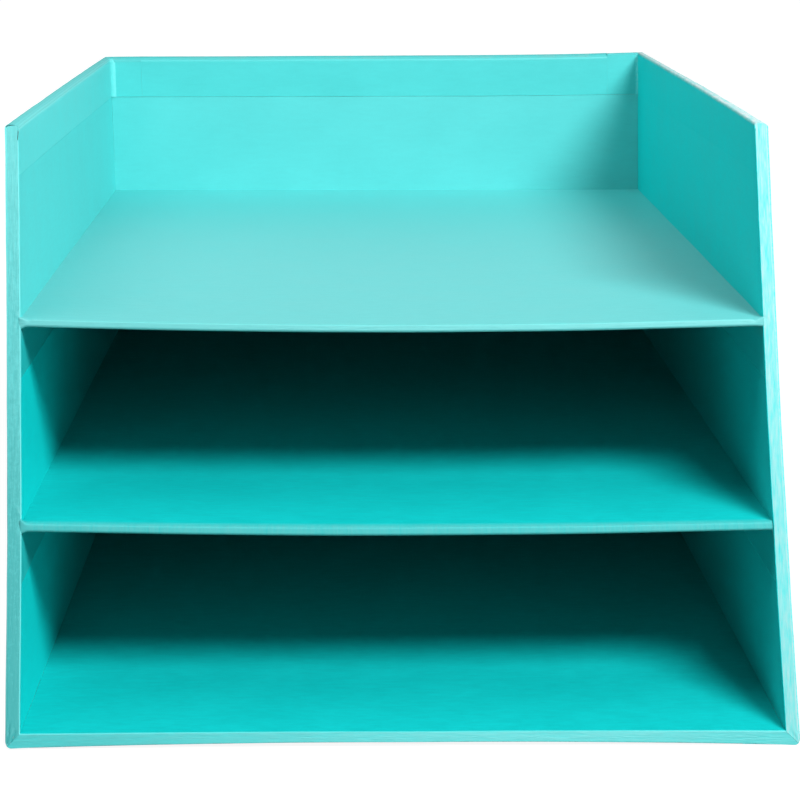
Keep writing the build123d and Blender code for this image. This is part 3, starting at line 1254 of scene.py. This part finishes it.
@dataclass
class Linings(SubAssembly):
    """The papers inside: three on each wall and one on the floor."""

    sheets: FlatSheets
    seam: float = 0.1 * MM
    shaded_seam: float = 0.03 * MM
    rest_gap: float = 0.03 * MM
    # Side linings by side and by whether the tier is the open top one: copies made lighter, paler or darker
    # to stand in for light and shade (painted light, sheen and shade)
    papers = {
        (Side.LEFT, True): PAINTED_LIGHT_SHEEN_SIDE_LINING, (Side.LEFT, False): PAINTED_LIGHT_SIDE_LINING,
        (Side.RIGHT, True): PAINTED_LIGHT_SIDE_LINING, (Side.RIGHT, False): PAINTED_SHADE_SIDE_LINING,
    }

    def tiers(self) -> dict[str, tuple[float, float]]:
        """Foot and top of the linings of each tier."""
        s = self.sizes
        return {
            "bottom": (s.floor_z, s.lower_z - s.shelf_t - s.glue_flap),
            "middle": (s.lower_z, s.upper_z - s.shelf_t - s.glue_flap),
            "top": (s.upper_z, s.height - s.turn_in),
        }

    def build(self) -> None:
        """Makes the nine wall linings and the floor's."""
        s = self.sizes
        near = s.front_lip + self.seam
        for tier, (low, high) in self.tiers().items():
            foot, rise = low + self.rest_gap, high - low - self.rest_gap
            start = s.front_at(foot, near)
            lit = tier == "top"
            gain = s.turn_in_gain if lit else 0.0
            for side in Side:
                seam = self.seam if side is Side.LEFT else self.shaded_seam
                paper = self.papers[side, lit]
                name = f"{side.name.lower()}_lining_{tier}"
                sheet = self.sheets.make(
                    f"{name}_paper", (side.value * s.wall_x, start, foot), (0, 1, 0), (0, 0, 1),
                    s.wall_y - start, rise - seam, paper.material(), s.lean, fall=gain,
                )
                if side is Side.RIGHT:
                    sheet.data.flip_normals()
                self.finish(sheet, paper, name)
            inner_x = s.wall_x - self.rest_gap
            # The top back lining is a paler copy, a painted sheen
            paper = PAINTED_SHEEN_CROSS_LINING if lit else CROSS_LINING
            sheet = self.sheets.make(
                f"back_lining_{tier}_paper", (-inner_x, s.wall_y, foot), (1, 0, 0), (0, 0, 1), 2 * inner_x,
                rise - gain - self.seam, paper.material(),
            )
            self.finish(sheet, paper, f"back_lining_{tier}")
        start = s.front_at(s.floor_z, near)
        half = s.wall_x - self.rest_gap
        sheet = self.sheets.make(
            "floor_lining_paper", (-half, start, s.floor_z), (1, 0, 0), (0, 1, 0), 2 * half, s.wall_y - start,
            FLOOR_LINING.material(),
        )
        self.finish(sheet, FLOOR_LINING, "floor_lining")

    def finish(self, sheet: Piece, finish: PaperFinish, node: str) -> None:
        """Bends, thickens and hands over one lining."""
        self.bow.apply(sheet)
        thicken(sheet, self.sizes.paper)
        hand_over(sheet, [finish.material()], "lining_paper", node)


class ShelfWraps:
    """Papers that follow a path round a shelf, made by one geometry tree."""

    INPUTS = {
        "Float": (
            "Half Width", "Top", "Under", "Nose Top Y", "Nose Under Y", "Back Y", "Nose Radius", "Sag",
            "Lean",
        ),
        "Int": ("Cells Across",),
        "Material": ("Material",),
    }
    NOSE_STEPS = 5

    def __init__(self) -> None:
        """Builds the tree: a path from the underside round the nose to the top, swept across and sagging."""
        g = ShapeSheet("shelf_wrap", self.INPUTS)
        self.tree = g

        def corner(y: str, z: str) -> Wire:
            """A corner of the path, by the names of its inputs."""
            return g.add("ShaderNodeCombineXYZ", {}, {"Y": g.given(y), "Z": g.given(z)})

        quad = g.add("GeometryNodeCurvePrimitiveQuadrilateral", {"mode": "POINTS"}, {
            "Point 1": corner("Back Y", "Under"), "Point 2": corner("Nose Under Y", "Under"),
            "Point 3": corner("Nose Top Y", "Top"), "Point 4": corner("Back Y", "Top"),
        })
        path = g.add("GeometryNodeSetSplineCyclic", {}, {"Geometry": quad, "Cyclic": False})
        path = g.add("GeometryNodeFilletCurve", {"mode": "POLY"}, {
            "Curve": path, "Count": self.NOSE_STEPS, "Radius": g.given("Nose Radius"), "Limit Radius": True,
        })
        left = g.add("ShaderNodeCombineXYZ", {}, {"X": g.given("Half Width") * -1.0})
        right = g.add("ShaderNodeCombineXYZ", {}, {"X": g.given("Half Width")})
        width = g.add("GeometryNodeCurvePrimitiveLine", {}, {"Start": left, "End": right})
        count = g.given("Cells Across") + 1.0
        width = g.add("GeometryNodeResampleCurve", {}, {"Curve": width, "Count": count})
        skin = g.add("GeometryNodeCurveToMesh", {}, {"Curve": path, "Profile Curve": width})
        spot = g.add("GeometryNodeInputPosition", {}, {})
        x = g.add("ShaderNodeSeparateXYZ", {}, {"Vector": spot})
        back = g.given("Back Y")
        ahead = ((back - x.beside("Y")) / (back - g.given("Nose Under Y"))).clamped()
        across = x / g.given("Half Width")
        droop = (across * across - 1.0) * g.given("Sag") * ahead
        drop = g.add("ShaderNodeCombineXYZ", {}, {"Y": droop * g.given("Lean"), "Z": droop})
        skin = g.add("GeometryNodeSetPosition", {}, {"Geometry": skin, "Offset": drop})
        g.finish(skin)


@dataclass(frozen=True)
class ShelfEnd:
    """How the paper at one end of a shelf's nose was pushed into the corner."""

    shelf: str
    side: Side
    cove: float = 0.0
    under_cove: float = 0.0
    lap: float = 0.0
    gap: float = 0.0
    dent: float = 0.0
    reach: float = 4.0 * MM


@dataclass
class ShelfCovers(SubAssembly):
    """The two shelves' papers: wrapped round the nose, with flaps glued down the walls below.

    The values in capitals are distances from the wall in millimetres.
    """

    END_CUTS = (0.4, 0.8, 1.2, 1.7, 2.3, 3.0, 3.7, 4.5)
    END_REACH = 5.0
    LAP_REACH = 1.2
    WEB_REACH = 2.2
    DENT_AT = 2.6
    DENT_HALF = 0.8

    wraps: ShelfWraps
    sheets: FlatSheets
    nose_radius: float = 0.5 * MM
    end_gap: float = 0.02 * MM
    tuck: float = 0.06 * MM
    # Marks on the nose, scuffing with a painted highlight, and over the upper shelf's top, a painted sheen
    # and shade
    nose_scuff_highlight: float = 1.2 * MM
    top_sheen_shade: float = 300.0 * MM
    cells_across: int = 48
    cut_pitch: float = 9 * MM
    ends: tuple[ShelfEnd, ...] = (
        ShelfEnd("upper", Side.LEFT, cove=0.7 * MM, under_cove=1.1 * MM, lap=0.35 * MM, dent=0.4 * MM),
        ShelfEnd("upper", Side.RIGHT, cove=0.6 * MM, under_cove=0.3 * MM, lap=0.35 * MM, dent=0.4 * MM),
        ShelfEnd("lower", Side.LEFT, cove=1.7 * MM, under_cove=0.9 * MM, lap=0.35 * MM),
        ShelfEnd("lower", Side.RIGHT, cove=0.3 * MM, gap=0.22 * MM),
    )

    def build(self) -> None:
        """Makes both shelf papers."""
        s = self.sizes
        for name, top, scuff_and_sheen, finish in (
            ("lower", s.lower_z, self.nose_scuff_highlight, LOWER_SHELF_PAPER),
            ("upper", s.upper_z, self.top_sheen_shade, UPPER_SHELF_PAPER),
        ):
            under = top - s.shelf_t
            wrap = self.wraps.tree.make(f"{name}_shelf_paper", {
                "Half Width": s.wall_x - self.end_gap, "Back Y": s.wall_y - self.end_gap,
                "Top": top, "Nose Top Y": s.front_at(top), "Under": under, "Nose Under Y": s.front_at(under),
                "Nose Radius": self.nose_radius, "Sag": s.sag, "Lean": s.lean,
                "Cells Across": self.cells_across, "Material": finish.material(),
            })
            wrap.data.materials.append(CROSS_PAPER.material())
            shape = bmesh.new()
            shape.from_mesh(wrap.data)
            for flap in self.flaps(name, under):
                flap.data.polygons.foreach_set("material_index", [1] * len(flap.data.polygons))
                shape.from_mesh(flap.data)
                bpy.data.objects.remove(flap)
            grid_cuts(shape, self.cut_pitch)
            self.mark_scuff_and_light(shape, top, scuff_and_sheen)
            for end in self.ends:
                if end.shelf == name:
                    self.dress_end(shape, end, top)
            shape.to_mesh(wrap.data)
            shape.free()
            self.bow.apply(wrap)
            thicken(wrap, s.paper)
            hand_over(wrap, [finish.material()], "cover_paper", f"{name}_shelf_cover")

    def mark_scuff_and_light(self, shape: Shape, top: float, reach: float) -> None:
        """Gives the nose and the paper behind it fold and strip marks, less towards the back: scuffing with a
        painted highlight, and where they reach far, a painted sheen and shade.

        Args:
            shape: the shelf paper's skin.
            top: level of the shelf.
            reach: how far back the marks run out.
        """
        marks = [shape.verts.layers.float.new(name) for name in ("fold", "rub")]
        for vert in shape.verts:
            behind = vert.co.y - self.sizes.front_at(top)
            scuff_and_sheen = unit(1.0 - behind / reach) if vert.co.z > top - 2 * self.sizes.shelf_t else 0.0
            for mark in marks:
                vert[mark] = scuff_and_sheen

    def dress_end(self, shape: Shape, end: ShelfEnd, top: float) -> None:
        """Works one end of a shelf's nose into the corner by the wall.

        Args:
            shape: the shelf paper's skin.
            end: what to do there.
            top: level of the shelf.
        """
        s = self.sizes
        sign = end.side.value
        for away in self.END_CUTS:
            cut(shape, (sign * (s.wall_x - away * MM), 0, 0), (1, 0, 0))
        for vert in shape.verts:
            away = (s.wall_x - sign * vert.co.x) / MM
            near = max(0.0, 1.0 - (vert.co.y - s.front_at(top)) / end.reach)
            if away > self.END_REACH or vert.co.z < top - 1.5 * s.shelf_t:
                continue
            vert.co.x -= sign * (end.gap - end.lap) * max(0.0, 1.0 - away / self.LAP_REACH) * near
            web = max(0.0, 1.0 - away / self.WEB_REACH) ** 2 * near
            vert.co.y += self.tuck * web if end.lap else 0.0
            if vert.co.z > top - 0.5 * s.shelf_t:
                vert.co.z += end.cove * web
                vert.co.z -= end.dent * math.exp(-(((away - self.DENT_AT) / self.DENT_HALF) ** 2)) * near
            else:
                vert.co.z -= end.under_cove * web

    def flaps(self, name: str, under: float) -> list[Piece]:
        """The three flaps below a shelf.

        Args:
            name: the shelf's name.
            under: height of its underside.
        Returns:
            The flaps' skins.
        """
        s = self.sizes
        foot = under - s.glue_flap
        start = s.front_at(foot, s.front_lip + s.seam)
        finish = CROSS_PAPER.material()
        made = []
        for side in Side:
            flap = self.sheets.make(
                f"{name}_{side.name.lower()}_flap", (side.value * s.wall_x, start, foot), (0, 1, 0),
                (0, 0, 1), s.wall_y - start, s.glue_flap, finish, s.lean,
            )
            if side is Side.RIGHT:
                flap.data.flip_normals()
            made.append(flap)
        inner_x = s.wall_x - self.end_gap
        made.append(self.sheets.make(
            f"{name}_back_flap", (-inner_x, s.wall_y, foot), (1, 0, 0), (0, 0, 1), 2 * inner_x,
            s.glue_flap, finish,
        ))
        return made


# Studio


@dataclass(frozen=True)
class Studio:
    """Pale floor, white surroundings, a soft key from the right, a wide fill overhead and the camera."""

    floor_half: float = 20.0
    floor_colour: Triple = (0.2, 0.2, 0.2)
    floor_near: float = 0.92
    fade_from: float = 0.3
    fade_over: float = 0.6
    sky_level: float = 0.1
    aim: Triple = (0.0, 0.0, 0.1)
    key_place: Triple = (0.51, -0.88, 0.9)
    key_size: tuple[float, float] = (0.6, 0.34)
    key_power: float = 17.0
    fill_place: Triple = (-0.45, -0.15, 1.0)
    fill_size: tuple[float, float] = (0.8, 0.8)
    fill_power: float = 3.5
    eye: Triple = (-0.0189, -0.79, 0.2597)
    pitch: float = math.radians(13.487)
    yaw: float = math.radians(1.604)
    roll: float = math.radians(-0.236)
    focal_px: float = 2121.4
    picture_px: float = 800.0
    sensor: float = 36.0

    def seen(self, sheet: NodeSheet) -> Wire:
        """1 for rays that show the surroundings, 0 for those that light the tray, by a matt bounce too."""
        camera = sheet.add("ShaderNodeLightPath", {}, {}, "Is Camera Ray")
        shown = camera + camera.beside("Is Glossy Ray") + camera.beside("Is Transmission Ray")
        return (shown - camera.beside("Diffuse Depth")).clamped()

    def build_floor(self) -> None:
        """Lays the floor, pale to the eye, with the tray's shadow on it."""
        mesh = bpy.data.meshes.new("studio_floor")
        h = self.floor_half
        mesh.from_pydata([(-h, -h, 0), (h, -h, 0), (h, h, 0), (-h, h, 0)], [], [(0, 1, 2, 3)])
        floor = new_piece("studio_floor", mesh)
        finish, sheet = blank_material("pale_floor")
        place = sheet.add("ShaderNodeTexCoord", {}, {}, "Object")
        reach = sheet.add("ShaderNodeVectorMath", {"operation": "LENGTH"}, {0: place}, "Value")
        far = ((reach - self.fade_from) / self.fade_over).clamped()
        level = far * (1.0 - self.floor_near) + self.floor_near
        white = sheet.add("ShaderNodeCombineColor", {}, {"Red": level, "Green": level, "Blue": level})
        matt = sheet.add("ShaderNodeBsdfDiffuse", {}, {"Color": (*self.floor_colour, 1.0)})
        glow = sheet.add("ShaderNodeEmission", {}, {"Color": white, "Strength": 1.0})
        bright = sheet.add("ShaderNodeAddShader", {}, {0: matt, 1: glow})
        shown = sheet.add("ShaderNodeMixShader", {}, {0: self.seen(sheet), 1: matt, 2: bright})
        sheet.add("ShaderNodeOutputMaterial", {}, {"Surface": shown})
        mesh.materials.append(finish)
        floor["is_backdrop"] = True

    def build_light(self) -> None:
        """Sets the surroundings and hangs the lamps."""
        world = bpy.data.worlds.new("studio")
        bpy.context.scene.world = world
        world.use_nodes = True
        world.node_tree.nodes.clear()
        sheet = NodeSheet(world.node_tree)
        seen = self.seen(sheet)
        level = seen * (1.0 - self.sky_level) + self.sky_level
        sky = sheet.add("ShaderNodeBackground", {}, {"Color": (1, 1, 1, 1), "Strength": level})
        sheet.add("ShaderNodeOutputWorld", {}, {"Surface": sky})
        self.build_lamp("key", self.key_place, self.key_size, self.key_power)
        self.build_lamp("fill", self.fill_place, self.fill_size, self.fill_power)

    def build_lamp(self, name: str, place: Point, size: tuple[float, float], power: float) -> None:
        """Hangs a round or oval soft lamp that faces the tray.

        Args:
            name: the lamp's name.
            place: where it hangs.
            size: its width and height.
            power: in watts.
        """
        lamp = bpy.data.lights.new(name, "AREA")
        lamp.shape = "ELLIPSE"
        lamp.size, lamp.size_y = size
        lamp.energy = power
        hung = bpy.data.objects.new(name, lamp)
        hung.location = place
        hung.rotation_euler = (Vector(self.aim) - hung.location).to_track_quat("-Z", "Y").to_euler()
        bpy.context.scene.collection.objects.link(hung)

    def build_camera(self) -> None:
        """Stands the camera where the photograph was taken from."""
        run = math.cos(self.pitch)
        ahead = Vector((math.sin(self.yaw) * run, math.cos(self.yaw) * run, -math.sin(self.pitch)))
        level = Vector((math.cos(self.yaw), -math.sin(self.yaw), 0.0))
        over = level.cross(ahead)
        right = level * math.cos(self.roll) - over * math.sin(self.roll)
        up = level * math.sin(self.roll) + over * math.cos(self.roll)
        turn = Matrix((right, up, -ahead)).transposed().to_4x4()
        data = bpy.data.cameras.new("camera")
        data.sensor_width = self.sensor
        data.lens = self.focal_px / self.picture_px * self.sensor
        camera = bpy.data.objects.new("camera", data)
        camera.matrix_world = Matrix.Translation(self.eye) @ turn
        bpy.context.scene.collection.objects.link(camera)
        bpy.context.scene.camera = camera

    def build(self) -> None:
        """Sets up floor, light, camera and the view."""
        self.build_floor()
        self.build_light()
        self.build_camera()
        bpy.context.scene.view_settings.view_transform = "Standard"


def main() -> None:
    """Builds the tray's pieces in order, then the studio."""
    logging.basicConfig(level=logging.INFO, format="%(name)s: %(message)s")
    noise.seed_set(NOISE_SEED)
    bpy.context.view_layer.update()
    sizes = TraySizes.measured()
    log.info("measured %s", sizes)
    bow = HandBow(sizes)
    sheets = FlatSheets()
    Boards(sizes, bow).build()
    top, upper, lower = sizes.height, sizes.upper_z, sizes.lower_z
    left_marks = (
        Crease(2.6 * MM, lower + 5.4 * MM, 4.1 * MM, lower + 2.7 * MM, 0.2 * MM),
        Crease(2.8 * MM, upper + 2.0 * MM, 4.1 * MM, upper + 0.4 * MM, 0.2 * MM),
        Crease(2.9 * MM, upper - 2.4 * MM, 4.1 * MM, upper - 0.8 * MM, -0.2 * MM),
        Crease(1.0 * MM, 1.6 * MM, 2.3 * MM, 5.6 * MM, 0.3 * MM),
        Crease(1.9 * MM, 2.0 * MM, 3.3 * MM, 5.2 * MM, -0.3 * MM),
        Crease(1.1 * MM, 4.0 * MM, 1.3 * MM, 8.4 * MM, -0.25 * MM),
    )
    right_marks = (
        Crease(2.9 * MM, upper + 2.0 * MM, 4.1 * MM, upper + 0.6 * MM, 0.2 * MM),
        Crease(2.6 * MM, lower - 1.6 * MM, 4.1 * MM, lower - 3.6 * MM, -0.2 * MM),
        Crease(0.9 * MM, 1.8 * MM, 1.6 * MM, 4.4 * MM, 0.2 * MM),
        Crease(2.1 * MM, 2.6 * MM, 3.4 * MM, 5.0 * MM, -0.15 * MM),
    )
    # The lit left side: lighter, paler paper with highlight marks on its corner and lip, a painted light,
    # sheen and highlight; the right side in shade: a lighter copy with a near-white painted sheen on its rim
    # and no highlight marks
    SideCover(
        sizes, bow, Side.LEFT, inner_corner_radius=1.4 * MM, slit_start=5.0 * MM, top_slit=0.4 * MM,
        top_gape=0.3 * MM, rim_sheen_shade_level=3.6, corner_scuff_highlight=0.5, lip_scuff_highlight=1.0, creases=left_marks,
        finish=PAINTED_LIGHT_COVER_PAPER,
    ).build()
    SideCover(
        sizes, bow, Side.RIGHT, rim_radius=0.9 * MM, outer_rim_radius=2.6 * MM, inner_corner_radius=0.3 * MM,
        rim_sheen_shade_level=3.3, edge_lift=0.03 * MM, rub=1.15, creases=right_marks, finish=SHADED_COVER_PAPER,
    ).build()
    BackCover(sizes, bow).build()
    BaseCover(sizes, bow).build()
    Linings(sizes, bow, sheets).build()
    ShelfCovers(sizes, bow, ShelfWraps(), sheets).build()
    Studio().build()


if __name__ == "__main__":
    main()
